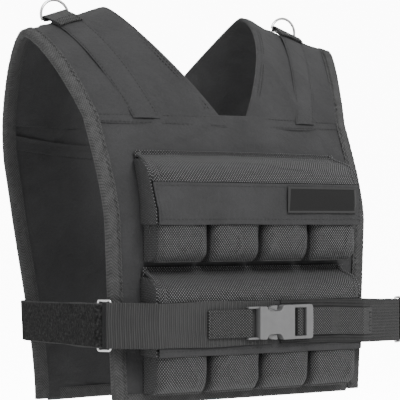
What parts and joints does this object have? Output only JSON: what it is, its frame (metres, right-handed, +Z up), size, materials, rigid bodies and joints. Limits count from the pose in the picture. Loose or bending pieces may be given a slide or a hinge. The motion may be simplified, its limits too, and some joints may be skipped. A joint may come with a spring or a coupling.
{
  "type": "weighted vest",
  "caption": "Weighted training vest of heavy cloth in its worn form, with wide shoulder straps, flapped weight pockets across the chest and a buckled front belt.",
  "frame": {"origin": "where the vest sits on the wearer's shoulders: midway between the two straps, level with the middle of the straps' inner edges at their crest", "axes": "+Z up, -Y to the front of the wearer, +X to the wearer's left"},
  "size_m": [0.427, 0.3199, 0.4579],
  "materials": {
    "cloth": "charcoal smooth woven cloth, lightly wrinkled",
    "coarse": "charcoal coarse basket weave",
    "tape": "charcoal woven binding tape with zigzag stitch",
    "webbing": "charcoal ribbed webbing",
    "pile": "dark short loop pile",
    "plastic": "grey moulded plastic, slightly glossy",
    "chrome": "polished wire",
    "rubber": "bare dark label patch"
  },
  "bodies": {
    "vest": {"front_panel": "cloth", "back_panel": "cloth", "right_shoulder_yoke": "cloth", "left_shoulder_yoke": "cloth", "right_strap_band": "cloth", "left_strap_band": "cloth", "upper_flap_band": "cloth", "lower_flap_band": "cloth", "upper_flap_roll": "coarse", "lower_flap_roll": "coarse", "upper_pocket_1": "coarse", "upper_pocket_2": "coarse", "upper_pocket_3": "coarse", "upper_pocket_4": "coarse", "lower_pocket_1": "coarse", "lower_pocket_2": "coarse", "lower_pocket_3": "coarse", "lower_pocket_4": "coarse", "right_front_binding": "tape", "right_back_binding": "tape", "left_front_binding": "tape", "left_back_binding": "tape", "right_ring_loop": "webbing", "left_ring_loop": "webbing", "front_elastic": "webbing", "front_wide_band": "webbing", "buckle_tab": "webbing", "long_webbing": "webbing", "right_side_strap": "pile", "left_side_strap": "pile", "back_strap": "pile", "buckle_socket": "plastic", "buckle_plug": "plastic", "right_strap_ring": "chrome", "left_strap_ring": "chrome", "front_label": "rubber"},
    "right_ring": {"right_shoulder_ring": "chrome"},
    "left_ring": {"left_shoulder_ring": "chrome"}
  },
  "joints": [
    {"name": "right_ring_swing", "type": "hinge", "parent": "vest", "child": "right_ring", "pos_m": [-0.1527, 0, -0.01002], "axis": [0.9442, 0, 0.3294], "range_deg": [-95, 55]},
    {"name": "left_ring_swing", "type": "hinge", "parent": "vest", "child": "left_ring", "pos_m": [0.1527, 0, -0.01002], "axis": [0.9442, 0, -0.3294], "range_deg": [-95, 55]}
  ]
}
